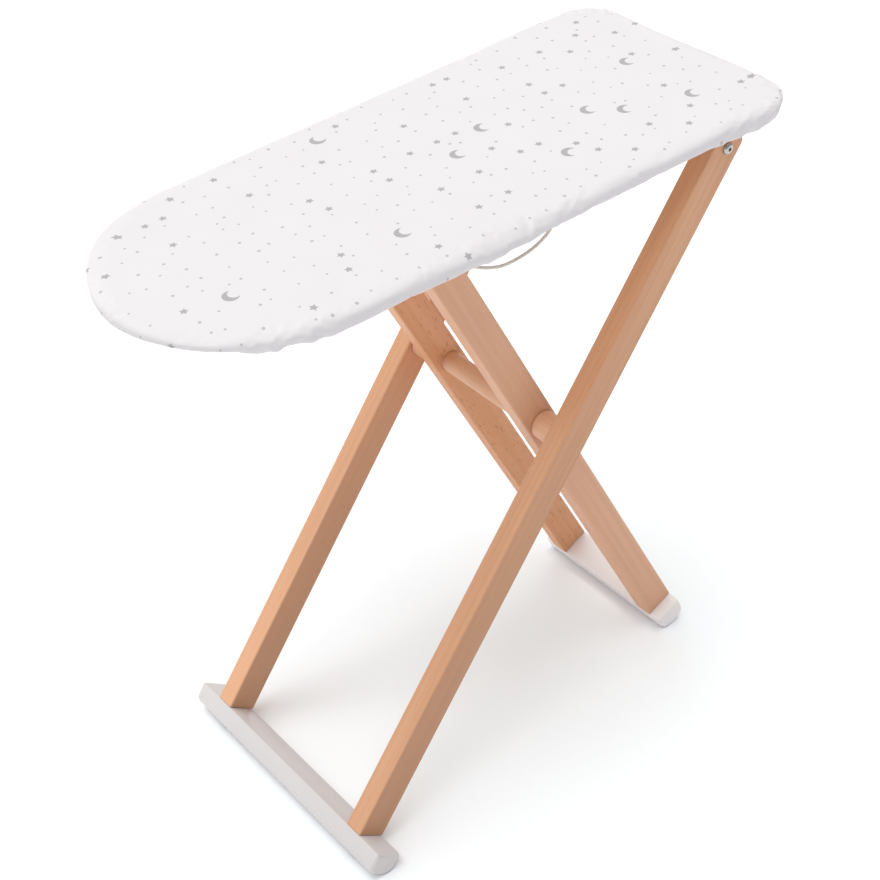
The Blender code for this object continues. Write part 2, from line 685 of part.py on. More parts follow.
def hinge_metal(steel, brass):
    """Button-head bolt, washer and threaded insert on each side of the board."""
    hole = BOLT_RADIUS + GAP
    dome = [(0.0, 0.0), (0.0, 0.55 * BOLT_HEAD_RADIUS), (0.35, 0.74 * BOLT_HEAD_RADIUS),
            (1.0, 0.9 * BOLT_HEAD_RADIUS), (1.9, BOLT_HEAD_RADIUS), (BOLT_HEAD_HIGH, BOLT_HEAD_RADIUS),
            (BOLT_HEAD_HIGH, BOLT_RADIUS)]
    tip = BOLT_HEAD_HIGH + BOLT_REACH
    dome += [(tip - 1.0, BOLT_RADIUS), (tip, BOLT_RADIUS - 0.8), (tip, 0.0)]
    flat = [(0.0, hole), (0.0, WASHER_RADIUS), (WASHER_THICK, WASHER_RADIUS), (WASHER_THICK, hole)]
    sleeve = [(0.0, hole), (0.0, INSERT_RADIUS), (INSERT_LONG, INSERT_RADIUS), (INSERT_LONG, hole)]
    for side, sign in SIDES:
        inwards = (0.0, -sign, 0.0)
        head_top = in_space(HINGE, sign * (OUTER_FACE_Y + GAP + BOLT_HEAD_HIGH))
        bolt = turned("hinge_bolt_" + side, head_top, inwards, dome, steel, BOARD_AXIS, segments=24)
        socket_from = in_space(HINGE, sign * (OUTER_FACE_Y + GAP + BOLT_HEAD_HIGH + 0.5))
        cut(bolt, [bore(socket_from, inwards, 2.0, 1.75, 6)])
        washer_from = in_space(HINGE, sign * (OUTER_INSIDE_Y - GAP))
        turned("hinge_washer_" + side, washer_from, inwards, flat, steel, BOARD_AXIS, 24, bored=True)
        insert_from = in_space(HINGE, sign * (CLEAT_OUTER_Y - GAP))
        turned("hinge_insert_" + side, insert_from, inwards, sleeve, brass, BOARD_AXIS, 20, bored=True)


def catch_lip_x():
    return TOP_BAR.x + TOP_BAR_RADIUS + CATCH_PLAY


def catch_blocks(wood):
    """Block over each half of the top bar: the bar bears on it and stops against its lip."""
    top = UNDERSIDE - GAP
    seat = TOP_BAR.y + TOP_BAR_RADIUS + CATCH_PLAY
    front = TOP_BAR.x - CATCH_AHEAD
    lip = catch_lip_x()
    back = lip + CATCH_LIP_LONG
    low = seat - CATCH_LIP_DROP
    corners = [(front, top), (front, seat + CATCH_EASE), (front + CATCH_EASE, seat), (lip, seat),
               (lip, low + CATCH_LIP_EASE), (lip + CATCH_LIP_EASE, low), (back, low), (back, top)]
    shape = [Vector(corner) for corner in corners]
    for side, sign in SIDES:
        right, left = sorted((sign * CATCH_INNER_Y, sign * CATCH_OUTER_Y))
        block = slab("catch_block_" + side, shape, right, left, [(0.5, 0.0), (0.0, 0.5)], wood, BOARD_AXIS)
        cut_board_screws(block, "catch_screw_" + side)


def smooth_curve(points):
    """Fine steps along a smooth curve that passes through every point of a route."""
    ends = [points[0] * 2 - points[1]] + points + [points[-1] * 2 - points[-2]]
    fine = []
    for before, here, after, beyond in zip(ends, ends[1:], ends[2:], ends[3:]):
        leave = here + (after - before) / 6
        arrive = after - (beyond - here) / 6
        fine += interpolate_bezier(here, leave, arrive, after, CURVE_STEPS + 1)[:-1]
    return fine + [points[-1]]


def even_steps(points, step):
    """Points a fixed step apart along a polyline, both ends kept."""
    kept = [points[0]]
    for point in points[1:-1]:
        if (point - kept[-1]).length >= step:
            kept.append(point)
    if (points[-1] - kept[-1]).length < step / 2:
        kept.pop()
    kept.append(points[-1])
    return kept


def drawstring(fibre):
    """The slack loop of the hem's drawstring, a tube along its route."""
    points = [Vector((x, y, UNDERSIDE - below)) for x, y, below in LOOP_ROUTE]
    route = even_steps(smooth_curve(points), CORD_STEP)
    curve = bpy.data.curves.new("drawstring", "CURVE")
    curve.dimensions = "3D"
    curve.bevel_depth = CORD_RADIUS * MM
    curve.bevel_resolution = 2
    curve.use_fill_caps = True
    line = curve.splines.new("POLY")
    line.points.add(len(route) - 1)
    for place, point in zip(line.points, route):
        place.co = (*((point - BOARD_AXIS) * MM), 1.0)
    curve.materials.append(fibre)
    made = bpy.data.objects.new("drawstring", curve)
    made.location = BOARD_AXIS * MM
    bpy.context.collection.objects.link(made)


def main():
    clear_scene()
    beech = material("beech", BEECH, 0.5)
    paint = material("white_paint", WHITE_PAINT, 0.4)
    steel = material("steel", STEEL, 0.3, 1.0)
    outer_screw_y = OUTER_FACE_Y - LEG_THICK / 2
    inner_screw_y = INNER_FACE_Y - LEG_THICK / 2
    outer_legs(beech)
    foot_bar("outer_foot", OUTER, OUTER_FOOT_HALF, outer_screw_y, paint, STILL)
    foot_screws("outer_foot", OUTER, outer_screw_y, steel, STILL)
    pivot_parts(beech)
    inner_legs(beech)
    foot_bar("inner_foot", INNER, INNER_FOOT_HALF, inner_screw_y, paint, LEG_AXIS)
    foot_screws("inner_foot", INNER, inner_screw_y, steel, LEG_AXIS)
    top_bar(beech)
    panel(material("plywood", PLYWOOD, 0.6))
    pad(material("foam", FOAM, 0.9))
    cover(material("cotton", COTTON, 0.85))
    hinge_cleats(beech)
    hinge_metal(steel, material("brass", BRASS, 0.35, 1.0))
    catch_blocks(beech)
    board_screws(steel)
    drawstring(material("cord", CORD, 0.9))


main()
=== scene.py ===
"""Looks of the toy ironing board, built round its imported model: a gathered cotton cover over a foam pad,
a twisted drawstring, beech legs, white foot bars and plated fasteners, on a pale studio floor."""

import math
import random

import bpy
import numpy as np
from mathutils import Matrix, Vector, noise
from mathutils.geometry import delaunay_2d_cdt, interpolate_bezier


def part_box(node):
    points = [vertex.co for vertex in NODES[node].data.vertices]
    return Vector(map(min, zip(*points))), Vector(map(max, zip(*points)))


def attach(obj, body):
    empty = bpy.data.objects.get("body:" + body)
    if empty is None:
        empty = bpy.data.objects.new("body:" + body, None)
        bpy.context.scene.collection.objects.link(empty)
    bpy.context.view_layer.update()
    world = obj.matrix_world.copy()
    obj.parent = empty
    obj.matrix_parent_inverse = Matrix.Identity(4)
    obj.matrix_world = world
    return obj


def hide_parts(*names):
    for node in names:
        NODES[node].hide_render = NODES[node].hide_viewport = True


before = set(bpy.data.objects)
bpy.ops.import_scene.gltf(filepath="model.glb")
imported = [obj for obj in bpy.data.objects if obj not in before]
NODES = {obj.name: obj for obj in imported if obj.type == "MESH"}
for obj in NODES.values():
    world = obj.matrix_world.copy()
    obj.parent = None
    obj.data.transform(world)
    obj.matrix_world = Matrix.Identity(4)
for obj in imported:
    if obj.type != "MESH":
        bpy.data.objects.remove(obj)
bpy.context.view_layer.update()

MM = 0.001

# Camera at the photograph's view
CAMERA_AT = Vector((-0.6939, -0.9546, 1.2154))
CAMERA_YAW = math.radians(-35.726)
CAMERA_PITCH = math.radians(38.510)
CAMERA_ROLL = math.radians(-4.779)
CAMERA_LENS = 75.10             # mm
CAMERA_SENSOR = 36.0
CAMERA_NEAR = 0.05              # metres

# Studio light
SKY_STRENGTH = 0.42
SKY_TINT = (0.926, 0.985, 1.0, 1.0)
LAMP_TINT = (0.96, 1.0, 1.0)
SOFT_BOXES = (                  # name, direction it comes from, strength and spread in degrees
    ("overhead", (-0.06, -0.03, 1.0), 2.0, 56.0),
    ("key", (-0.38, 0.58, 0.72), 1.25, 115.0),
)

# Board, as the part's own sizes give it, mm
BOARD_LOW, BOARD_HIGH = [Vector(corner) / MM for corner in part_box("fabric_cover")]
PAD_LOW, PAD_HIGH = [Vector(corner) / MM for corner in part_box("foam_pad")]
UNDERSIDE = (Vector(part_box("board_panel")[0]) / MM).z
CROWN = 1.0
NOSE_X = BOARD_LOW.x
END_X = BOARD_HIGH.x
NOSE_LONG = 130.0
HALF_WIDE_NOSE = 111.0
HALF_WIDE_END = BOARD_HIGH.y
CORNER_RADIUS = 31.0
CORNER_TURN = 3                 # degrees between the outline's points
NOSE_TURN = 2
PANEL_INSET = 1.5
HINGE_X = sum(corner[0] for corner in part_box("hinge_bolt_right")) / 2 / MM

# Cotton cover, mm
CLOTH_THICK = 0.5
COVER_PROUD = 3.2               # the cloth stands this far outside the board's own edge
COLUMN_COUNT = 660
ROW_COUNT = 27
RIM_INSET = 18.0                # the fine band starts here, inside the top's edge
TOP_STEP = 6.0                  # between the points of the middle of the top
TOP_CLEAR = 0.6                 # and their least distance from the rim, as a share of it
SAME_POINT = 1e-6
CRISP_EDGE = (6.0, 5.5)         # width and height of the upper edge, a quarter of an ellipse
SOFT_EDGE = (17.0, 6.5)
# Rows below the upper edge: inset, height over the underside and share of the sag
CRISP_WALL = ((0.0, 2.4, 0.1), (0.3, -0.3, 0.5), (1.6, -0.3, 1.0), (4.4, -0.3, 1.0), (7.4, -1.2, 0.35))
SOFT_WALL = ((0.2, 3.0, 0.0), (1.2, 0.8, 0.3), (3.0, -0.6, 0.7), (5.6, -0.9, 1.0), (8.4, -1.2, 0.5))
HEM_FOLD = ((10.6, -1.2, 0.0), (13.6, -1.2, 0.0), (15.2, -2.3, 0.0), (17.0, -2.7, 0.0), (19.0, -2.2, 0.0),
            (20.0, -1.4, 0.0), (19.0, -0.6, 0.0), (16.5, -0.6, 0.0))
HEM_SAG = 2.0
ROLL_DROP = 3.0                 # the pad is drawn down by this much at the edge where it is pulled most
ROLL_REACH = 42.0
# Uneven places along the edge: x, y, reach and how much is added there
ROLL_PLACES = ((-232.0, -78.0, 62.0, 1.0), (-25.0, -112.0, 85.0, 0.45))
SOFT_PLACES = ((-235.0, -75.0, 60.0, 0.35), (-25.0, -112.0, 85.0, 0.75))
PROUD_PLACES = ((270.0, -45.0, 60.0, 2.5), (0.0, -112.0, 85.0, -1.0), (-215.0, 98.0, 45.0, 4.0),
                (-268.0, -5.0, 75.0, -2.2), (190.0, 106.0, 40.0, 2.5))
TUCK_PLACES = ((262.0, -102.0, 30.0, 3.2), (262.0, 102.0, 30.0, 1.5), (0.0, -112.0, 85.0, -2.6))
SAG_PLACES = ((-38.0, -112.0, 40.0, 3.0), (-213.0, -92.0, 9.0, 2.2), (-150.0, -108.0, 50.0, 1.2),
              (238.0, -112.0, 32.0, 3.0), (-262.0, -30.0, 60.0, -1.6))
GATHER_PLACES = ((-6.0, -110.0, 55.0, 0.5), (258.0, -102.0, 40.0, 0.7), (258.0, 102.0, 40.0, 0.5),
                 (-200.0, -98.0, 30.0, 0.5), (-240.0, 62.0, 60.0, 0.2), (70.0, 112.0, 70.0, 0.25))
GATHER_BASE = 0.10
# Single folds: x, y where it crosses the wall, height, width and sideways run for each mm down
FOLDS = ((238.0, -113.0, 2.3, 5.0, -3.0), (217.0, -113.0, 2.1, 4.5, -3.0), (256.0, -107.0, 2.2, 5.0, -2.4),
         (198.0, -113.0, 1.5, 4.5, -2.6), (267.0, -88.0, 1.7, 5.0, -1.6), (-204.0, -97.0, 1.5, 4.5, 1.0),
         (-183.0, -106.0, 1.7, 5.0, 1.0), (-168.0, -109.0, 1.2, 4.0, 0.8), (-38.0, -113.0, 1.0, 5.0, 0.9),
         (-22.0, -113.0, 0.7, 4.0, 0.7), (2.0, -113.0, 0.8, 4.0, -0.6))
FOLD_ABOVE = 4.0                # the listed folds start this far above the edge
FOLD_REACH = 14.0               # run down the cloth over which a fold rises to its full height
FOLD_PIVOT = 8.0                # a leaning fold keeps its place this far below the edge
FOLD_LEVEL = 0.45               # share of the folds' mean height that is taken off all along the edge
FOLD_LIMITS = (-0.8, 4.0)
FOLD_SEED = 11
FOLD_STEP = 17.0                # between two faint folds where the cloth is pulled by one half
# Faint folds: the spread of their steps, height, width, lean and start
FAINT_STEP = (0.5, 1.5)
FAINT_TALL = (0.6, 2.0)
FAINT_WIDE = (2.6, 6.5)
FAINT_LEAN = 0.8
FAINT_START = (-10.0, 8.0)
HINGE_ROOM = (0.25, 0.02)       # share of the folds under the board at the hinge, and its growth per mm
TUCK_RUN = (-2.0, 8.0)          # the tuck grows between these runs down the cloth, past the rim's own inset
UNDER_RUN = (12.0, 20.0)        # and the cloth turns under the panel between these
HEM_ROWS_HELD = 9               # the simulation holds the hem's rows still
FREE_ROWS = 6                   # and frees the cloth over this many rows below the rim
CLOTH_SLACK = 0.04              # spare length of the cloth where it is gathered most
SETTLE_FRAMES = 24
SETTLE_CAP = 1.8                # no point moves further than this
SETTLE_PRESSURE = 0.5
SETTLE_SINK = 0.5               # the pad stops the cloth from going in further than this
PAD_GIVE = 2.0                  # the stretched cloth presses the pad down by this much
COVER_TOP = BOARD_HIGH.z - CROWN - PAD_GIVE
STITCH_INSET = 9.4              # from the board's own edge to the seam, about
STITCH_LONG = 2.1
STITCH_PITCH = 3.0
STITCH_RADIUS = 0.22
STITCH_SIDES = 6
STITCH_DROP = 0.25              # the thread lies this far below the cloth's outer side
# Rings of one stitch: place along it, share of the radius and rise into the cloth
STITCH_RINGS = ((-0.5, 0.05, 0.3), (-0.4, 1.0, 0.1), (0.0, 1.2, 0.0), (0.4, 1.0, 0.1), (0.5, 0.05, 0.3))

# Foam pad, mm
PAD_COLUMNS = 220
PAD_TOP_INSETS = (24.0, 18.0)
PAD_LOW_INSETS = (1.0, 12.0, 24.0)
PAD_EDGE_REST = 0.4             # height of the cut edge below the rounding
PAD_LEAST = 0.3                 # the pad is at least this thick where it is drawn down
PAD_CROWN = 0.9                 # share of the cover's crown
PAD_UNEVEN = 0.35               # the cut edge wavers by this much either way
PAD_WAVE = 60.0                 # and over about this length

# Drawstring loop, mm
CORD_THICK = 2.8
CORD_STRANDS = 3
CORD_SIDES = 24
CORD_GROOVE = 0.3               # depth of the grooves between the strands, as a share of the radius
CORD_STEP = 0.4
CORD_LAY = 6.5                  # length of one turn of the twist
LOOP_ROUTE = (                  # x, y and the distance below the panel
    (38.0, -97.5, 3.7), (35.5, -100.6, 4.9), (32.5, -103.6, 6.6), (28.5, -105.9, 8.9),
    (22.5, -106.8, 12.3), (15.0, -106.9, 15.6), (6.5, -107.0, 17.8), (-2.0, -107.0, 18.9),
    (-11.0, -107.0, 19.1), (-19.5, -107.0, 18.2), (-27.5, -106.9, 15.7), (-35.0, -106.7, 12.5),
    (-41.5, -105.7, 9.2), (-46.0, -103.2, 6.6), (-49.0, -100.3, 4.9), (-51.0, -97.5, 3.7),
)

# Wood: directions of the grain, the painted shade low on the legs' sideways faces, and the plies
OUTER_TILT = math.radians(51.0)
INNER_TILT = math.radians(115.0)
SIDE_SHADE_RUN = (0.02, 0.55)        # the painted shade fades out between these heights, metres
SIDE_SHADE_DARK = 0.7                # its tone as a share of the dark one
PLY_THICK = 1.1                 # mm

# Print of the cotton, mm
PRINT_CELL = 18.6
STAR_RADIUS = 3.5
STAR_WAIST = 0.52
STAR_CHANCE = 0.16
MOON_RADIUS = 6.3
MOON_BITE = 0.78
MOON_BITE_AT = 0.54
MOON_CHANCE = 0.07
MOTIF_TURN = 1.6                # the crescents all open towards the square end, within this spread, radians
DOT_RADIUS = 1.1
PRINT_BLUR = 0.25

# Colours as linear red, green and blue; a finish blends between its two
OUTER_BEECH = ((0.686, 0.357, 0.205), (0.603, 0.292, 0.158))
# Paler copy for the left outer leg: painted light, for the light that reaches that leg past the board
OUTER_BEECH_PALE = ((0.80, 0.425, 0.25), (0.718, 0.36, 0.20))
INNER_BEECH = ((0.733, 0.40, 0.25), (0.666, 0.346, 0.208))
# Redder copy for the left inner leg: painted shade with warm light bounced off the wood round it
INNER_BEECH_RED = ((0.775, 0.385, 0.205), (0.68, 0.31, 0.15))
CROSS_BEECH = ((0.79, 0.45, 0.29), (0.728, 0.40, 0.25))
# Two copies of one white paint: the inner foot's is lighter, painted light against the board's shade over
# it; the outer foot's is darker, painted shade where more light falls
OUTER_PAINT = ((0.634, 0.575, 0.57), (0.675, 0.615, 0.61))
INNER_PAINT = ((0.832, 0.765, 0.76), (0.874, 0.81, 0.80))
PLYWOOD = ((0.72, 0.53, 0.33), (0.56, 0.38, 0.21))
GLUE_LINE = (0.34, 0.21, 0.11)
STEEL = (0.50, 0.49, 0.48)
BRASS = (0.72, 0.52, 0.24)
FOAM = ((0.88, 0.85, 0.77), (0.70, 0.66, 0.57))
CORD = ((0.874, 0.78, 0.70), (0.707, 0.62, 0.54))
CORD_SLUB = (0.88, 0.83, 0.76)
THREAD = ((0.88, 0.86, 0.87), (0.74, 0.72, 0.73))
CLOTH = ((0.704, 0.646, 0.655), (0.73, 0.674, 0.682))
INK = ((0.322, 0.30, 0.306), (0.43, 0.40, 0.408))
FLOOR = ((0.947, 0.947, 0.965), (0.957, 0.957, 0.975))

# Rigid pieces and floor
SHARP_ANGLE = math.radians(28.0)
JOIN_WITHIN = 0.00001           # metres
FLOOR_HALF = 60000.0            # mm


def link(obj):
    """Puts an object into the scene."""
    bpy.context.scene.collection.objects.link(obj)
    return obj


def mesh_object(name, points, faces, material, smooth=True):
    """Object of a mesh whose points are in millimetres in the part's frame."""
    mesh = bpy.data.meshes.new(name)
    mesh.from_pydata([tuple(coordinate * MM for coordinate in point) for point in points], [], faces)
    mesh.materials.append(material)
    if smooth:
        mesh.polygons.foreach_set("use_smooth", [True] * len(mesh.polygons))
    return link(bpy.data.objects.new(name, mesh))


def ring_faces(rings, sides, base=0):
    """Faces between closed rings of points that follow one another from a base."""
    faces = []
    for ring in range(rings - 1):
        for side in range(sides):
            a = base + ring * sides + side
            b = base + ring * sides + (side + 1) % sides
            faces.append((a, a + sides, b + sides, b))
    return faces


def closed_faces(rings, sides, base=0):
    """Faces between rings of points, with both end rings filled."""
    last = base + (rings - 1) * sides
    first_cap = tuple(base + side for side in range(sides))
    last_cap = tuple(last + side for side in reversed(range(sides)))
    return ring_faces(rings, sides, base) + [first_cap, last_cap]


# Node graphs of the materials
class Graph:
    """Short way to write the nodes of one material."""

    def __init__(self, name):
        self.material = bpy.data.materials.new(name)
        self.material.use_nodes = True
        self.tree = self.material.node_tree
        self.shader = self.tree.nodes["Principled BSDF"]

    def node(self, kind, **settings):
        made = self.tree.nodes.new(kind)
        for key, value in settings.items():
            setattr(made, key, value)
        return made

    def feed(self, socket, value):
        if isinstance(value, bpy.types.NodeSocket):
            self.tree.links.new(value, socket)
        else:
            socket.default_value = value

    def surface(self, **values):
        """Sets the shader's own sockets; an underscore stands for a space."""
        for key, value in values.items():
            self.feed(self.shader.inputs[key.replace("_", " ")], value)

    def math(self, operation, *values):
        made = self.node("ShaderNodeMath", operation=operation)
        for socket, value in zip(made.inputs, values):
            self.feed(socket, value)
        return made.outputs[0]

    def vector(self, operation, *values):
        made = self.node("ShaderNodeVectorMath", operation=operation)
        for socket, value in zip(made.inputs, values):
            self.feed(socket, value)
        return made.outputs["Value" if operation == "LENGTH" else "Vector"]

    def blend(self, share, low, high):
        made = self.node("ShaderNodeMix", data_type="RGBA")
        self.feed(made.inputs["Factor"], share)
        self.feed(made.inputs[6], low)
        self.feed(made.inputs[7], high)
        return made.outputs[2]

    def fade(self, value, low, high, at_low=0.0, at_high=1.0):
        """Smooth step of a value from one level to another."""
        made = self.node("ShaderNodeMapRange", interpolation_type="SMOOTHSTEP")
        for key, number in zip(("Value", "From Min", "From Max", "To Min", "To Max"),
                               (value, low, high, at_low, at_high)):
            self.feed(made.inputs[key], number)
        return made.outputs[0]

    def place(self, turn=(0.0, 0.0, 0.0), scale=(1.0, 1.0, 1.0)):
        """Place on the object, turned and stretched."""
        where = self.node("ShaderNodeTexCoord").outputs["Object"]
        made = self.node("ShaderNodeMapping", vector_type="POINT")
        self.feed(made.inputs["Vector"], where)
        made.inputs["Rotation"].default_value = turn
        return self.vector("MULTIPLY", made.outputs[0], scale)

    def noise(self, where, scale, detail, roughness=0.5):
        made = self.node("ShaderNodeTexNoise")
        self.feed(made.inputs["Vector"], where)
        made.inputs["Scale"].default_value = scale
        made.inputs["Detail"].default_value = detail
        made.inputs["Roughness"].default_value = roughness
        return made.outputs["Fac"]

    def bump(self, height, strength, distance):
        made = self.node("ShaderNodeBump")
        self.feed(made.inputs["Height"], height)
        made.inputs["Strength"].default_value = strength
        made.inputs["Distance"].default_value = distance
        self.feed(self.shader.inputs["Normal"], made.outputs[0])


def colour(red, green, blue):
    return (red, green, blue, 1.0)


def colours(pair):
    return [colour(*tone) for tone in pair]


def lower_sides(graph):
    """Mask of the painted shade: 1 at the floor and 0 under the board, on the faces that look sideways."""
    height = graph.node("ShaderNodeSeparateXYZ")
    graph.feed(height.inputs[0], graph.place())
    normal = graph.node("ShaderNodeSeparateXYZ")
    graph.feed(normal.inputs[0], graph.node("ShaderNodeNewGeometry").outputs["True Normal"])
    sideways = graph.fade(graph.math("ABSOLUTE", normal.outputs[1]), 0.5, 0.9)
    return graph.math("MULTIPLY", sideways, graph.fade(height.outputs[2], *SIDE_SHADE_RUN, 1.0, 0.0))


def beech(name, turn, tones, fleck=0.16, side_shade=0.0):
    """Sanded beech: fine streaks along the grain, short ray flecks and a thin matt clear coat.

    The last argument is the share of painted shade that the sideways faces show towards their lower end."""
    graph = Graph(name)
    pale, dark = colours(tones)
    streaks = graph.noise(graph.place(turn, (3.0, 150.0, 150.0)), 1.6, 5.0, 0.6)
    bands = graph.noise(graph.place(turn, (0.9, 14.0, 14.0)), 1.3, 2.0)
    flecks = graph.noise(graph.place(turn, (190.0, 800.0, 800.0)), 1.0, 0.0)
    tone = graph.blend(graph.fade(streaks, 0.30, 0.72, 0.1, 0.8), pale, dark)
    tone = graph.blend(graph.fade(bands, 0.42, 0.75, 0.0, 0.25), tone, dark)
    # Painted shade: the sideways faces darken towards the floor
    if side_shade:
        darker = colour(*[SIDE_SHADE_DARK * part for part in dark[:3]])
        tone = graph.blend(graph.math("MULTIPLY", lower_sides(graph), side_shade), tone, darker)
    deep = colour(dark[0] * 0.62, dark[1] * 0.52, dark[2] * 0.46)
    tone = graph.blend(graph.fade(flecks, 0.70, 0.80, 0.0, fleck), tone, deep)
    graph.surface(Base_Color=tone, Roughness=graph.fade(streaks, 0.2, 0.8, 0.42, 0.56))
    graph.surface(Specular_IOR_Level=0.35)
    pores = graph.noise(graph.place(turn, (60.0, 1400.0, 1400.0)), 1.0, 1.0)
    graph.bump(graph.math("ADD", pores, graph.math("MULTIPLY", flecks, -0.4)), 0.12, 0.0003)
    return graph.material


def white_paint(name, tones):
    """Satin white paint, rolled on thinly over wood."""
    graph = Graph(name)
    roller = graph.noise(graph.place(), 420.0, 3.0, 0.6)
    patches = graph.noise(graph.place(), 14.0, 2.0)
    graph.surface(Base_Color=graph.blend(patches, *colours(tones)))
    graph.surface(Roughness=graph.fade(roller, 0.3, 0.7, 0.30, 0.42), Coat_Weight=0.15, Coat_Roughness=0.25)
    graph.bump(roller, 0.10, 0.0003)
    return graph.material


def plywood():
    """Bare birch plywood: long pale grain on the faces and the glued plies round the edge."""
    graph = Graph("plywood")
    grain = graph.noise(graph.place(scale=(3.0, 70.0, 8.0)), 1.4, 4.0, 0.6)
    tone = graph.blend(grain, *colours(PLYWOOD))
    height = graph.node("ShaderNodeSeparateXYZ")
    graph.feed(height.inputs[0], graph.place())
    ply = graph.math("PINGPONG", graph.math("MULTIPLY", height.outputs[2], 1.0 / (PLY_THICK * MM)), 1.0)
    normal = graph.node("ShaderNodeSeparateXYZ")
    graph.feed(normal.inputs[0], graph.node("ShaderNodeNewGeometry").outputs["True Normal"])
    edge = graph.fade(graph.math("ABSOLUTE", normal.outputs[2]), 0.3, 0.7, 1.0, 0.0)
    lines = graph.math("MULTIPLY", edge, graph.fade(ply, 0.35, 0.65, 0.0, 0.6))
    graph.surface(Base_Color=graph.blend(lines, tone, colour(*GLUE_LINE)), Roughness=0.62)
    graph.bump(grain, 0.2, 0.0003)
    return graph.material


def metal(name, tone, roughness):
    """Plated metal with fine turning marks."""
    graph = Graph(name)
    marks = graph.noise(graph.place(scale=(900.0, 90.0, 900.0)), 1.0, 2.0)
    graph.surface(Base_Color=graph.blend(marks, colour(*tone), colour(*[0.86 * part for part in tone])))
    graph.surface(Metallic=1.0, Roughness=graph.fade(marks, 0.3, 0.7, roughness, roughness + 0.12))
    graph.bump(marks, 0.05, 0.0002)
    return graph.material


def foam():
    """Pale foam with open cells."""
    graph = Graph("foam")
    cells = graph.node("ShaderNodeTexVoronoi")
    graph.feed(cells.inputs["Vector"], graph.place())
    cells.inputs["Scale"].default_value = 900.0
    depth = cells.outputs["Distance"]
    graph.surface(Base_Color=graph.blend(depth, *colours(FOAM)))
    graph.surface(Roughness=0.95)
    graph.bump(depth, 0.6, 0.0005)
    return graph.material


def cord_fibre():
    """Natural cotton: fine fibres with paler slubs."""
    graph = Graph("cord_fibre")
    fibres = graph.noise(graph.place(), 1800.0, 3.0, 0.7)
    slubs = graph.noise(graph.place(), 160.0, 2.0)
    tone = graph.blend(fibres, *colours(CORD))
    graph.surface(Base_Color=graph.blend(graph.fade(slubs, 0.4, 0.7, 0.0, 0.4), tone, colour(*CORD_SLUB)))
    graph.surface(Roughness=0.9, Sheen_Weight=0.3)
    graph.bump(fibres, 0.5, 0.0003)
    return graph.material


def thread():
    """White sewing thread."""
    graph = Graph("thread")
    twist = graph.noise(graph.place(), 2600.0, 2.0)
    graph.surface(Base_Color=graph.blend(twist, *colours(THREAD)))
    graph.surface(Roughness=0.6)
    graph.bump(twist, 0.3, 0.0002)
    return graph.material


def motif_cells(graph, flat):
    """One printed motif for each cell: its own turned place, two chances and the room round it."""
    cells = graph.node("ShaderNodeTexVoronoi", voronoi_dimensions="2D")
    graph.feed(cells.inputs["Vector"], flat)
    near = graph.node("ShaderNodeTexVoronoi", voronoi_dimensions="2D", feature="F2")
    graph.feed(near.inputs["Vector"], cells.outputs["Position"])
    for texture in (cells, near):
        texture.inputs["Scale"].default_value = 1.0 / PRINT_CELL
        texture.inputs["Randomness"].default_value = 0.72
    chances = graph.node("ShaderNodeSeparateColor")
    graph.feed(chances.inputs[0], cells.outputs["Color"])
    turned = graph.node("ShaderNodeVectorRotate", rotation_type="Z_AXIS")
    graph.feed(turned.inputs["Vector"], graph.vector("SUBTRACT", flat, cells.outputs["Position"]))
    turn = graph.math("MULTIPLY", graph.math("SUBTRACT", chances.outputs[0], 0.5), MOTIF_TURN)
    graph.feed(turned.inputs["Angle"], turn)
    room = graph.math("MULTIPLY", near.outputs["Distance"], PRINT_CELL / 2)
    return turned.outputs[0], chances.outputs[1], chances.outputs[2], room


def star_distance(graph, x, y):
    """Distance outside a five-pointed star, from one of its ten equal edges."""
    fold = math.pi / 5
    angle = graph.math("ARCTAN2", y, x)
    angle = graph.math("PINGPONG", angle, fold)
    squares = graph.math("ADD", graph.math("MULTIPLY", x, x), graph.math("MULTIPLY", y, y))
    reach = graph.math("SQRT", squares)
    along = graph.math("MULTIPLY", reach, graph.math("COSINE", angle))
    along = graph.math("SUBTRACT", along, STAR_RADIUS)
    across = graph.math("MULTIPLY", reach, graph.math("SINE", angle))
    waist = STAR_RADIUS * STAR_WAIST
    edge = Vector((waist * math.sin(fold), STAR_RADIUS - waist * math.cos(fold))).normalized()
    return graph.math("ADD", graph.math("MULTIPLY", along, edge.x), graph.math("MULTIPLY", across, edge.y))


def moon_distance(graph, spot):
    """Distance outside a crescent: one disc with a smaller one taken away."""
    disc = graph.math("SUBTRACT", graph.vector("LENGTH", spot), MOON_RADIUS)
    bite_at = graph.vector("SUBTRACT", spot, (MOON_BITE_AT * MOON_RADIUS, 0.0, 0.0))
    bite = graph.math("SUBTRACT", MOON_BITE * MOON_RADIUS, graph.vector("LENGTH", bite_at))
    return graph.math("MAXIMUM", disc, bite)


def printed_share(graph, flat):
    """1 on the grey print and 0 on the bare cloth."""
    spot, kind, size, room = motif_cells(graph, flat)
    part = graph.node("ShaderNodeSeparateXYZ")
    graph.feed(part.inputs[0], spot)
    star = star_distance(graph, part.outputs[0], part.outputs[1])
    moon = moon_distance(graph, spot)
    radius = graph.fade(size, 0.0, 1.0, 0.8 * DOT_RADIUS, 1.15 * DOT_RADIUS)
    dot = graph.math("SUBTRACT", graph.vector("LENGTH", spot), radius)
    star_here = graph.math("MULTIPLY", graph.math("LESS_THAN", kind, STAR_CHANCE),
                           graph.math("GREATER_THAN", room, STAR_RADIUS))
    moon_here = graph.math("MULTIPLY", graph.math("GREATER_THAN", kind, 1.0 - MOON_CHANCE),
                           graph.math("GREATER_THAN", room, MOON_RADIUS))
    share = graph.fade(dot, -PRINT_BLUR, PRINT_BLUR, 0.8, 0.0)
    for here, distance in ((star_here, star), (moon_here, moon)):
        inside = graph.fade(distance, -PRINT_BLUR, PRINT_BLUR, 1.0, 0.0)
        kept = graph.math("MULTIPLY", share, graph.math("SUBTRACT", 1.0, here))
        share = graph.math("ADD", kept, graph.math("MULTIPLY", inside, here))
    return share


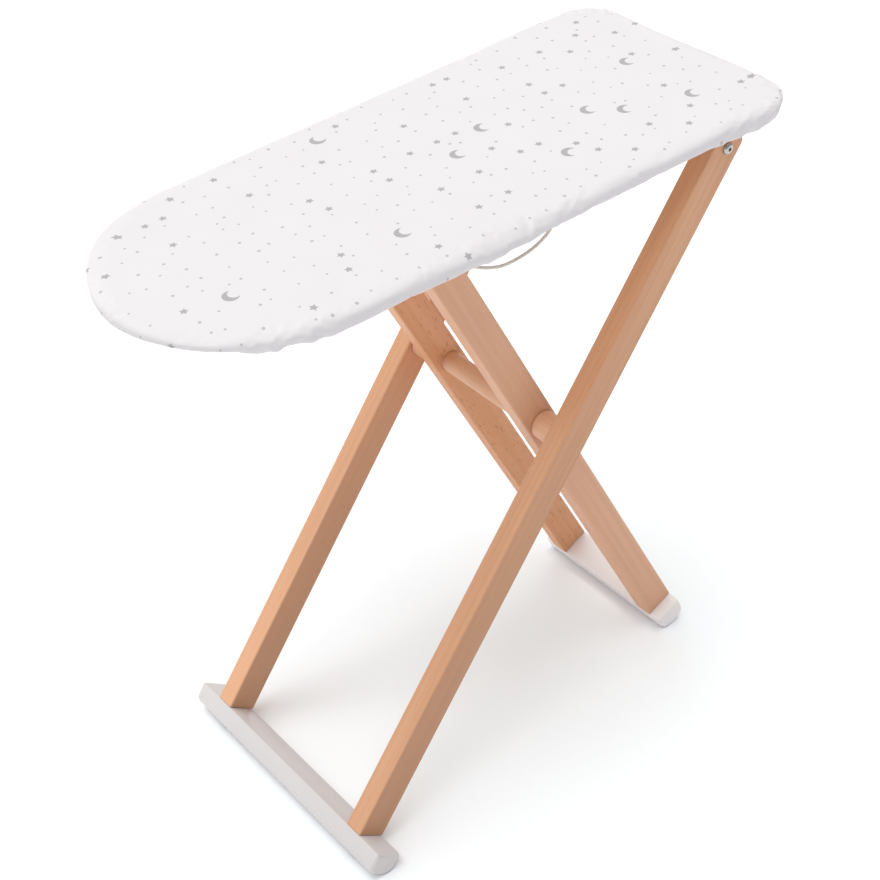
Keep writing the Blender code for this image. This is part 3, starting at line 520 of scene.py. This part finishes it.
def cotton():
    """White cotton with a plain weave, printed with small grey stars, crescents and dots."""
    graph = Graph("cotton")
    where = graph.node("ShaderNodeUVMap", uv_map="flat_cloth").outputs[0]
    flat = graph.vector("SCALE", where)
    flat.node.inputs["Scale"].default_value = 1.0 / MM
    ink = printed_share(graph, flat)
    blotch = graph.noise(flat, 0.9, 3.0, 0.65)
    grey = graph.blend(blotch, *colours(INK))
    cloth = graph.blend(graph.noise(flat, 0.02, 2.0), *colours(CLOTH))
    graph.surface(Base_Color=graph.blend(graph.math("MULTIPLY", ink, 0.92), cloth, grey))
    graph.surface(Roughness=0.86, Sheen_Weight=0.12, Sheen_Roughness=0.4, Specular_IOR_Level=0.25)
    threads = []
    for direction in ("X", "Y"):
        wave = graph.node("ShaderNodeTexWave", bands_direction=direction)
        graph.feed(wave.inputs["Vector"], flat)
        wave.inputs["Scale"].default_value = 0.8
        wave.inputs["Distortion"].default_value = 0.6
        threads.append(wave.outputs["Fac"])
    graph.bump(graph.math("MAXIMUM", *threads), 0.10, 0.0002)
    return graph.material


def floor_paper():
    """Pale matt studio floor."""
    graph = Graph("floor_paper")
    tooth = graph.noise(graph.place(), 60.0, 3.0)
    graph.surface(Base_Color=graph.blend(tooth, *colours(FLOOR)))
    graph.surface(Roughness=0.9, Specular_IOR_Level=0.1)
    return graph.material


# Shared curves
def smooth_curve(points, steps=12):
    """Fine points of a smooth curve through the route's own points."""
    fine = []
    last = len(points) - 1
    for index in range(last):
        here, there = points[index], points[index + 1]
        before = points[max(index - 1, 0)]
        after = points[min(index + 2, last)]
        leave = here + (there - before) / 6
        arrive = there - (after - here) / 6
        part = interpolate_bezier(here, leave, arrive, there, steps)
        fine += part if index == last - 1 else part[:-1]
    return fine


def even_points(line, count, closed=False):
    """Evenly spaced points along a line of points."""
    line = np.asarray(line, float)
    if closed:
        line = np.vstack([line, line[:1]])
    along = np.concatenate([[0.0], np.cumsum(np.linalg.norm(np.diff(line, axis=0), axis=1))])
    at = np.linspace(0.0, along[-1], count, endpoint=not closed)
    return np.column_stack([np.interp(at, along, column) for column in line.T])


# Drawstring
def twisted_cord(fibre):
    """The loop of the drawstring: one grooved tube that turns like twisted strands, hung below the hem."""
    route = [Vector((x, y, UNDERSIDE - drop)) for x, y, drop in LOOP_ROUTE]
    fine = smooth_curve(route)
    length = sum((b - a).length for a, b in zip(fine, fine[1:]))
    path = [Vector(point) for point in even_points(fine, int(length / CORD_STEP))]
    above = Vector((0.0, 0.0, 1.0))
    points = []
    for index, middle in enumerate(path):
        ahead = path[min(index + 1, len(path) - 1)] - path[max(index - 1, 0)]
        across = ahead.cross(above).normalized()
        above = across.cross(ahead).normalized()
        twist = math.tau * index * CORD_STEP / CORD_LAY
        for side in range(CORD_SIDES):
            angle = math.tau * side / CORD_SIDES
            crown = abs(math.cos(CORD_STRANDS * angle / 2))
            reach = CORD_THICK / 2 * (1.0 - CORD_GROOVE * (1.0 - crown))
            spoke = math.cos(angle + twist) * across + math.sin(angle + twist) * above
            points.append(middle + reach * spoke)
    cord = mesh_object("drawstring_loop", points, closed_faces(len(path), CORD_SIDES), fibre)
    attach(cord, "board")
    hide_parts("drawstring")


# Cotton cover
def board_outline(count):
    """Plan of the covered board as evenly spaced points, counter-clockwise, with outward directions."""
    shape = []
    corner_x = END_X - CORNER_RADIUS
    corner_y = HALF_WIDE_END - CORNER_RADIUS
    for middle_y, start in ((-corner_y, -90), (corner_y, 0)):
        for turn in range(start, start + 91, CORNER_TURN):
            angle = math.radians(turn)
            x = corner_x + CORNER_RADIUS * math.cos(angle)
            shape.append((x, middle_y + CORNER_RADIUS * math.sin(angle)))
    for turn in range(90, 271, NOSE_TURN):
        angle = math.radians(turn)
        shape.append((NOSE_X + NOSE_LONG + NOSE_LONG * math.cos(angle), HALF_WIDE_NOSE * math.sin(angle)))
    outline = even_points(shape, count, closed=True)
    along = np.roll(outline, -1, axis=0) - np.roll(outline, 1, axis=0)
    along /= np.linalg.norm(along, axis=1)[:, None]
    outward = np.column_stack([along[:, 1], -along[:, 0]])
    return outline, outward


def soft_edge(top, wide, high, steps=8):
    """Inset and height down a rounded upper edge, from the flat top to the side."""
    turns = [math.pi / 2 * step / steps for step in range(steps + 1)]
    return [(wide * (1.0 - math.sin(turn)), top - high * (1.0 - math.cos(turn))) for turn in turns]


def cover_profile(edge, wall):
    """Rows from the top's rim to the hem: inset, height over the underside and share of the sag."""
    top = COVER_TOP - UNDERSIDE
    rows = [(RIM_INSET, top, 0.0)]
    rows += [(inset, height, 0.0) for inset, height in soft_edge(top, *edge)]
    fine = smooth_curve([Vector(row) for row in (*rows, *wall, *HEM_FOLD)], 8)
    return even_points(fine, ROW_COUNT)


def along_edge(outline, base, places):
    """A value that is even along the edge, apart from what each listed place adds round itself."""
    value = np.full(len(outline), base)
    for x, y, reach, extra in places:
        away = np.linalg.norm(outline - (x, y), axis=1) / reach
        value += extra * np.exp(-away ** 2)
    return value


def crown_at(inset):
    """Rise of the top towards its middle."""
    share = np.clip(inset / HALF_WIDE_NOSE, 0.0, 1.0)
    return CROWN * (1.0 - (1.0 - share) ** 2)


def roll_at(inset, pull):
    """Share of the height that the drawn-down edge takes away."""
    share = np.clip(1.0 - inset / ROLL_REACH, 0.0, 1.0)
    return pull * ROLL_DROP / (COVER_TOP - UNDERSIDE) * share ** 2


def ramp(value, low, high):
    """Smooth step from 0 to 1."""
    share = min(max((value - low) / (high - low), 0.0), 1.0)
    return share * share * (3.0 - 2.0 * share)


def edge_folds(outline, down):
    """Height of the folds over the smooth profile: the listed ones, and faint ones at uneven steps."""
    draw = random.Random(FOLD_SEED)
    columns = len(outline)
    step = np.linalg.norm(outline[1] - outline[0])
    round_it = columns * step
    strength = along_edge(outline, GATHER_BASE, GATHER_PLACES)
    along = np.arange(columns) * step
    edge = RIM_INSET - CRISP_EDGE[0] / 2
    height = np.zeros((len(down), columns))

    def add(at, tall, wide, lean, start):
        away = along[None, :] - at - lean * (down[:, None] - edge - FOLD_PIVOT)
        away = (away + round_it / 2) % round_it - round_it / 2
        rise = np.array([ramp(run, start, start + FOLD_REACH) for run in down])
        return tall * rise[:, None] * np.exp(-(away / wide) ** 2)

    for x, y, tall, wide, lean in FOLDS:
        nearest = np.linalg.norm(outline - (x, y), axis=1).argmin()
        height += add(nearest * step, tall, wide, lean, edge - FOLD_ABOVE)
    at = 0.0
    while at < round_it:
        pull = strength[int(at / step) % columns]
        tall = draw.uniform(*FAINT_TALL) * pull
        wide = draw.uniform(*FAINT_WIDE)
        lean = draw.gauss(0.0, FAINT_LEAN)
        height += add(at, tall, wide, lean, edge + draw.uniform(*FAINT_START))
        at += draw.uniform(*FAINT_STEP) * FOLD_STEP / (0.5 + pull)
    return height - FOLD_LEVEL * height.mean(axis=1)[:, None]


def cover_points(outline, outward):
    """Every point of the fine band, row by row, and its flat place on the cut cloth."""
    sag = along_edge(outline, HEM_SAG, SAG_PLACES)
    proud = along_edge(outline, COVER_PROUD, PROUD_PLACES)
    tuck = along_edge(outline, 0.0, TUCK_PLACES)
    soft = np.clip(along_edge(outline, 0.0, SOFT_PLACES), 0.0, 1.0)
    pull = along_edge(outline, 0.0, ROLL_PLACES)
    least, growth = HINGE_ROOM
    room = np.clip(least + growth * np.abs(outline[:, 0] - HINGE_X), least, 1.0)
    crisp_rows = cover_profile(CRISP_EDGE, CRISP_WALL)
    soft_rows = cover_profile(SOFT_EDGE, SOFT_WALL)
    middle = (crisp_rows + soft_rows) / 2
    tangent = np.gradient(middle[:, :2], axis=0)
    tangent /= np.linalg.norm(tangent, axis=1)[:, None]
    down = np.concatenate([[0.0], np.cumsum(np.linalg.norm(np.diff(middle[:, :2], axis=0), axis=1))])
    folds = edge_folds(outline, down)
    points = np.zeros((ROW_COUNT, len(outline), 3))
    flat = np.zeros((ROW_COUNT, len(outline), 2))
    for row in range(ROW_COUNT):
        inset, height, share = [crisp * (1.0 - soft) + smooth * soft
                                for crisp, smooth in zip(crisp_rows[row], soft_rows[row])]
        rise = crown_at(inset) if down[row] < RIM_INSET else 0.0
        height = np.where(height > 0.0, height * (1.0 - roll_at(inset, pull)), height)
        under = ramp(down[row], RIM_INSET + UNDER_RUN[0], RIM_INSET + UNDER_RUN[1])
        lift = np.clip(folds[row], *FOLD_LIMITS) * (1.0 - under + under * room)
        drawn_in = tuck * ramp(down[row], RIM_INSET + TUCK_RUN[0], RIM_INSET + TUCK_RUN[1])
        out = proud * ramp(down[row], 0.0, RIM_INSET) - drawn_in
        out = out - inset - lift * tangent[row, 1]
        points[row, :, :2] = outline + outward * out[:, None]
        points[row, :, 2] = UNDERSIDE + height + rise - share * sag - lift * tangent[row, 0]
        flat[row] = outline + outward * (down[row] - RIM_INSET)
    return points, flat


def top_points(rim, outward):
    """Points of the middle of the top, in even rows inside the rim, and the triangles that join them."""
    loop = [Vector(point) for point in rim]
    inside = []
    low, high = rim.min(axis=0), rim.max(axis=0)
    row_high = TOP_STEP * math.sqrt(0.75)
    for row in range(int((high[1] - low[1]) / row_high) + 1):
        y = low[1] + row_high * (row + 0.5)
        for column in range(int((high[0] - low[0]) / TOP_STEP) + 1):
            x = low[0] + TOP_STEP * (column + 0.5 * (row % 2))
            inset = -((np.array((x, y)) - rim) * outward).sum(axis=1).max()
            if inset > TOP_CLEAR * TOP_STEP:
                inside.append(Vector((x, y)))
    edges = [(index, (index + 1) % len(loop)) for index in range(len(loop))]
    found = delaunay_2d_cdt(loop + inside, edges, [], 1, SAME_POINT)
    source = [origin[0] if origin else -1 for origin in found[3]]
    triangles = [tuple(source[corner] for corner in face) for face in found[2]]
    used = sorted({corner for face in triangles for corner in face if corner >= len(loop)})
    order = {corner: len(loop) + place for place, corner in enumerate(used)}
    order.update({corner: corner for corner in range(len(loop))})
    kept = np.array([inside[corner - len(loop)] for corner in used])
    return kept, [tuple(order[corner] for corner in face) for face in triangles]


def build_cover(cloth):
    """The cover before it is relaxed: one sheet from the top to the hem, with its flat places as UVs."""
    outline, outward = board_outline(COLUMN_COUNT)
    band, flat = cover_points(outline, outward)
    middle, triangles = top_points(band[0, :, :2], outward)
    away = np.array([np.linalg.norm(outline - point, axis=1) for point in middle])
    inset = away.min(axis=1)
    pull = along_edge(outline, 0.0, ROLL_PLACES)[away.argmin(axis=1)]
    middle_z = COVER_TOP + crown_at(inset) - (COVER_TOP - UNDERSIDE) * roll_at(inset, pull)
    points = np.vstack([band.reshape(-1, 3), np.column_stack([middle, middle_z])])
    places = np.vstack([flat.reshape(-1, 2), middle])
    rows, columns = band.shape[:2]
    shift = rows * columns - columns
    faces = [tuple(corner if corner < columns else corner + shift for corner in face) for face in triangles]
    faces += ring_faces(rows, columns)
    cover = mesh_object("cotton_cover", points, faces, cloth)
    layer = cover.data.uv_layers.new(name="flat_cloth")
    corners = np.zeros(len(cover.data.loops), int)
    cover.data.loops.foreach_get("vertex_index", corners)
    layer.uv.foreach_set("vector", (places[corners] * MM).astype(np.float32).ravel())
    return cover, places, (rows, columns)


def weigh(obj, name, weights):
    """Vertex group with a weight for every point."""
    group = obj.vertex_groups.new(name=name)
    for index, weight in enumerate(weights):
        if weight > 0.0:
            group.add([index], float(weight), "REPLACE")
    return name


def held_and_taut(outline, count, rows):
    """How firmly every point is held, and how much of its cloth is taut rather than spare."""
    columns = len(outline)
    held = np.ones(count)
    taut = np.ones(count)
    slack_here = np.clip(along_edge(outline, GATHER_BASE, GATHER_PLACES), 0.0, 1.0)
    for row in range(rows):
        free = ramp(row, 0, FREE_ROWS)
        spot = slice(row * columns, (row + 1) * columns)
        held[spot] = 1.0 if row >= rows - HEM_ROWS_HELD else 1.0 - free
        taut[spot] = 1.0 - slack_here * free
    return held, taut


def add_cloth(cover, held, taut):
    """Simulation of a light cotton, held at the top and the hem, with a little pressure from inside."""
    cloth = cover.modifiers.new("settle", "CLOTH")
    settings = cloth.settings
    settings.quality = 6
    settings.mass = 0.1
    settings.tension_stiffness = 20.0
    settings.compression_stiffness = 20.0
    settings.shear_stiffness = 8.0
    settings.bending_stiffness = 0.2
    settings.effector_weights.gravity = 0.0
    settings.use_pressure = True
    settings.uniform_pressure_force = SETTLE_PRESSURE
    settings.vertex_group_mass = weigh(cover, "held", held)
    settings.vertex_group_shrink = weigh(cover, "taut", taut)
    settings.shrink_min = -CLOTH_SLACK
    settings.shrink_max = 0.0
    cloth.collision_settings.use_collision = False
    cloth.point_cache.frame_start = 1
    cloth.point_cache.frame_end = SETTLE_FRAMES
    return cloth


def vertex_places(mesh):
    """Places of a mesh's points, metres."""
    places = np.zeros(len(mesh.vertices) * 3)
    mesh.vertices.foreach_get("co", places)
    return places.reshape(-1, 3)


def settle_cover(cover, grid):
    """Cloth simulation: the spare cloth of the gathered edge buckles into its own folds over the pad."""
    rows, columns = grid
    outline, outward = board_outline(columns)
    before = vertex_places(cover.data)
    cloth = add_cloth(cover, *held_and_taut(outline, len(before), rows))
    scene = bpy.context.scene
    for step in range(1, SETTLE_FRAMES + 1):
        scene.frame_set(step)
    after = vertex_places(cover.evaluated_get(bpy.context.evaluated_depsgraph_get()).data)
    cover.modifiers.remove(cloth)
    scene.frame_set(1)
    moved = after - before
    band = moved[:rows * columns].reshape(rows, columns, 3)
    inward = np.minimum((band[:, :, :2] * outward).sum(axis=2) + SETTLE_SINK * MM, 0.0)
    band[:, :, :2] -= inward[:, :, None] * outward
    length = np.linalg.norm(moved, axis=1)
    moved *= np.minimum(1.0, SETTLE_CAP * MM / np.maximum(length, 1e-9))[:, None]
    cover.data.vertices.foreach_set("co", (before + moved).ravel())
    cover.data.update()


def sew_cover(cloth, stitching):
    """The finished cover: its thickness and its stitches."""
    cover, places, grid = build_cover(cloth)
    settle_cover(cover, grid)
    fine = cover.modifiers.new("smooth", "SUBSURF")
    fine.levels = fine.render_levels = 1
    shell = cover.modifiers.new("thickness", "SOLIDIFY")
    shell.thickness = CLOTH_THICK * MM
    shell.offset = -1.0
    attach(cover, "board")
    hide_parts("fabric_cover")
    stitches = hem_stitches(cover, grid, stitching)


def seam_row(cover, grid):
    """The row of the cover's points under the board that lies nearest to the seam's inset."""
    rows, columns = grid
    spots = vertex_places(cover.data)[:rows * columns].reshape(rows, columns, 3) / MM
    outline, _ = board_outline(columns)
    inset = np.array([np.linalg.norm(spots[row, :, :2] - outline, axis=1).mean() for row in range(rows)])
    lower = [row for row in range(rows) if spots[row, :, 2].mean() < UNDERSIDE]
    return spots[min(lower, key=lambda row: abs(inset[row] - STITCH_INSET))]


def stitch_points(start, middle, end):
    """Rings of one stitch, thin at both ends where the thread goes into the cloth."""
    up = Vector((0.0, 0.0, 1.0))
    ahead = (end - start).normalized()
    across = ahead.cross(up).normalized()
    points = []
    for share, radius, rise in STITCH_RINGS:
        centre = middle + ahead * share * STITCH_LONG + Vector((0.0, 0.0, rise))
        for side in range(STITCH_SIDES):
            angle = math.tau * side / STITCH_SIDES
            ring = math.cos(angle) * across + math.sin(angle) * up
            points.append(centre + ring * radius * STITCH_RADIUS)
    return points


def hem_stitches(cover, grid, stitching):
    """Row of stitches that closes the casing, laid on the cloth as it finally lies."""
    seam = seam_row(cover, grid)
    length = np.linalg.norm(np.diff(seam, axis=0), axis=1).sum()
    count = int(length / STITCH_PITCH)
    line = even_points(seam, count * 3, closed=True)
    line[:, 2] -= STITCH_DROP
    points, faces = [], []
    for stitch in range(count):
        faces += closed_faces(len(STITCH_RINGS), STITCH_SIDES, len(points))
        points += stitch_points(*[Vector(line[stitch * 3 + step]) for step in range(3)])
    stitches = mesh_object("hem_stitches", points, faces, stitching)
    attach(stitches, "board")
    return stitches


# Foam pad
def foam_pad(finish):
    """Cut foam sheet with a soft upper edge and a cut that wavers a little."""
    outline, outward = board_outline(PAD_COLUMNS)
    low = PAD_LOW.z
    top = PAD_HIGH.z - CROWN - PAD_GIVE
    pulls = along_edge(outline, 0.0, ROLL_PLACES)
    rows = [(inset, top, True) for inset in PAD_TOP_INSETS]
    rounding = soft_edge(top, SOFT_EDGE[0], top - low - PAD_EDGE_REST)
    rows += [(inset, height, True) for inset, height in rounding]
    rows += [(inset, low, False) for inset in PAD_LOW_INSETS]
    points = []
    for inset, z, is_top in rows:
        for place, out, pull in zip(outline, outward, pulls):
            wave = noise.noise(Vector((place[0] / PAD_WAVE, place[1] / PAD_WAVE, 2.0)))
            at = place - out * (inset + PANEL_INSET + PAD_UNEVEN * (1.0 + wave))
            if is_top:
                drawn_down = (z - UNDERSIDE) * roll_at(inset + PANEL_INSET, pull)
                level = z + PAD_CROWN * crown_at(inset) - drawn_down
                points.append((at[0], at[1], max(level, low + PAD_LEAST)))
            else:
                points.append((at[0], at[1], z))
    pad = mesh_object("pad", points, closed_faces(len(rows), PAD_COLUMNS), finish)
    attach(pad, "board")
    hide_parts("foam_pad")
    return pad


# Finishes of the rigid pieces
def smooth_by_angle():
    """Node group that joins a solid's faces and shades them smooth, apart from its sharp edges."""
    group = bpy.data.node_groups.new("smooth_by_angle", "GeometryNodeTree")
    group.interface.new_socket("Geometry", in_out="INPUT", socket_type="NodeSocketGeometry")
    group.interface.new_socket("Geometry", in_out="OUTPUT", socket_type="NodeSocketGeometry")
    source = group.nodes.new("NodeGroupInput")
    result = group.nodes.new("NodeGroupOutput")
    joined = group.nodes.new("GeometryNodeMergeByDistance")
    joined.inputs["Distance"].default_value = JOIN_WITHIN
    faces = group.nodes.new("GeometryNodeSetShadeSmooth")
    edges = group.nodes.new("GeometryNodeSetShadeSmooth")
    edges.domain = "EDGE"
    edges.inputs["Shade Smooth"].default_value = False
    angle = group.nodes.new("GeometryNodeInputMeshEdgeAngle")
    sharp = group.nodes.new("FunctionNodeCompare")
    sharp.operation = "GREATER_THAN"
    sharp.inputs["B"].default_value = SHARP_ANGLE
    group.links.new(source.outputs[0], joined.inputs["Geometry"])
    group.links.new(joined.outputs[0], faces.inputs["Geometry"])
    group.links.new(faces.outputs[0], edges.inputs["Geometry"])
    group.links.new(angle.outputs[0], sharp.inputs["A"])
    group.links.new(sharp.outputs[0], edges.inputs["Selection"])
    group.links.new(edges.outputs[0], result.inputs[0])
    return group


def finish_solids():
    """Gives every solid that still shows its finish and smooth round faces."""
    along_outer = (0.0, OUTER_TILT, 0.0)
    along_inner = (0.0, INNER_TILT, 0.0)
    across = (0.0, 0.0, -math.pi / 2)
    # Painted shade on the outer legs' sideways faces, darker towards the floor
    outer_wood = beech("beech_outer", along_outer, OUTER_BEECH, side_shade=0.6)
    # Painted light: the left outer leg takes a paler copy of the outer beech
    outer_pale = beech("beech_outer_pale", along_outer, OUTER_BEECH_PALE, side_shade=0.75)
    inner_wood = beech("beech_inner", along_inner, INNER_BEECH)
    # Painted shade and bounce light: a redder copy for the left inner leg; its stronger flecks are the
    # wood's own
    inner_red = beech("beech_inner_red", along_inner, INNER_BEECH_RED, fleck=0.6)
    cross_wood = beech("beech_cross", across, CROSS_BEECH)
    block_wood = beech("beech_block", (0.0, 0.0, 0.0), OUTER_BEECH)
    # Painted light and shade: the feet get lighter and darker copies of one white paint
    outer_paint = white_paint("white_paint_outer", OUTER_PAINT)
    inner_paint = white_paint("white_paint_inner", INNER_PAINT)
    steel = metal("steel", STEEL, 0.18)
    finishes = (
        ("outer_leg_left", outer_pale), ("outer_leg", outer_wood), ("inner_leg_left", inner_red),
        ("inner_leg", inner_wood), ("pivot_", cross_wood), ("inner_top_bar", cross_wood),
        ("outer_foot_screw", steel), ("inner_foot_screw", steel), ("outer_foot", outer_paint),
        ("inner_foot", inner_paint), ("board_panel", plywood()), ("hinge_cleat", block_wood),
        ("catch_block", block_wood), ("hinge_insert", metal("brass", BRASS, 0.28)), ("hinge_", steel),
        ("cleat_screw", steel), ("catch_screw", steel),
    )
    smoothing = smooth_by_angle()
    for name, obj in NODES.items():
        for start, material in finishes:
            if name.startswith(start):
                obj.data.materials.clear()
                obj.data.materials.append(material)
                obj.modifiers.new("smooth_by_angle", "NODES").node_group = smoothing
                break


# Studio
def studio_floor():
    """Wide pale floor under the feet."""
    signs = ((-1, -1), (1, -1), (1, 1), (-1, 1))
    corners = [(x * FLOOR_HALF, y * FLOOR_HALF, 0.0) for x, y in signs]
    floor = mesh_object("floor", corners, [(0, 1, 2, 3)], floor_paper(), smooth=False)


def soft_sun(name, source, strength, spread):
    """Even light from one side of a large soft box."""
    data = bpy.data.lights.new(name, "SUN")
    data.energy = strength
    data.color = LAMP_TINT
    data.angle = spread
    lamp = link(bpy.data.objects.new(name, data))
    lamp.rotation_euler = (-Vector(source)).to_track_quat("-Z", "Y").to_euler()


def studio_light():
    """Pale sky and the soft boxes."""
    scene = bpy.context.scene
    scene.view_settings.view_transform = "Standard"
    world = bpy.data.worlds.new("studio")
    world.use_nodes = True
    sky = world.node_tree.nodes["Background"]
    sky.inputs["Color"].default_value = SKY_TINT
    sky.inputs["Strength"].default_value = SKY_STRENGTH
    scene.world = world
    for name, source, strength, spread in SOFT_BOXES:
        soft_sun(name, source, strength, math.radians(spread))


def photo_camera():
    """Camera at the photograph's view, from its yaw, pitch and roll."""
    ahead = Vector((-math.sin(CAMERA_YAW) * math.cos(CAMERA_PITCH),
                    math.cos(CAMERA_YAW) * math.cos(CAMERA_PITCH), -math.sin(CAMERA_PITCH)))
    level = Vector((math.cos(CAMERA_YAW), math.sin(CAMERA_YAW), 0.0))
    above = level.cross(ahead)
    right = level * math.cos(CAMERA_ROLL) + above * math.sin(CAMERA_ROLL)
    up = above * math.cos(CAMERA_ROLL) - level * math.sin(CAMERA_ROLL)
    data = bpy.data.cameras.new("camera")
    data.lens = CAMERA_LENS
    data.sensor_width = CAMERA_SENSOR
    data.clip_start = CAMERA_NEAR
    camera = link(bpy.data.objects.new("camera", data))
    turn = Matrix((right, up, -ahead)).transposed().to_4x4()
    camera.matrix_world = Matrix.Translation(CAMERA_AT) @ turn
    bpy.context.scene.camera = camera


photo_camera()
twisted_cord(cord_fibre())
padding = foam_pad(foam())
sew_cover(cotton(), thread())
finish_solids()
studio_floor()
studio_light()
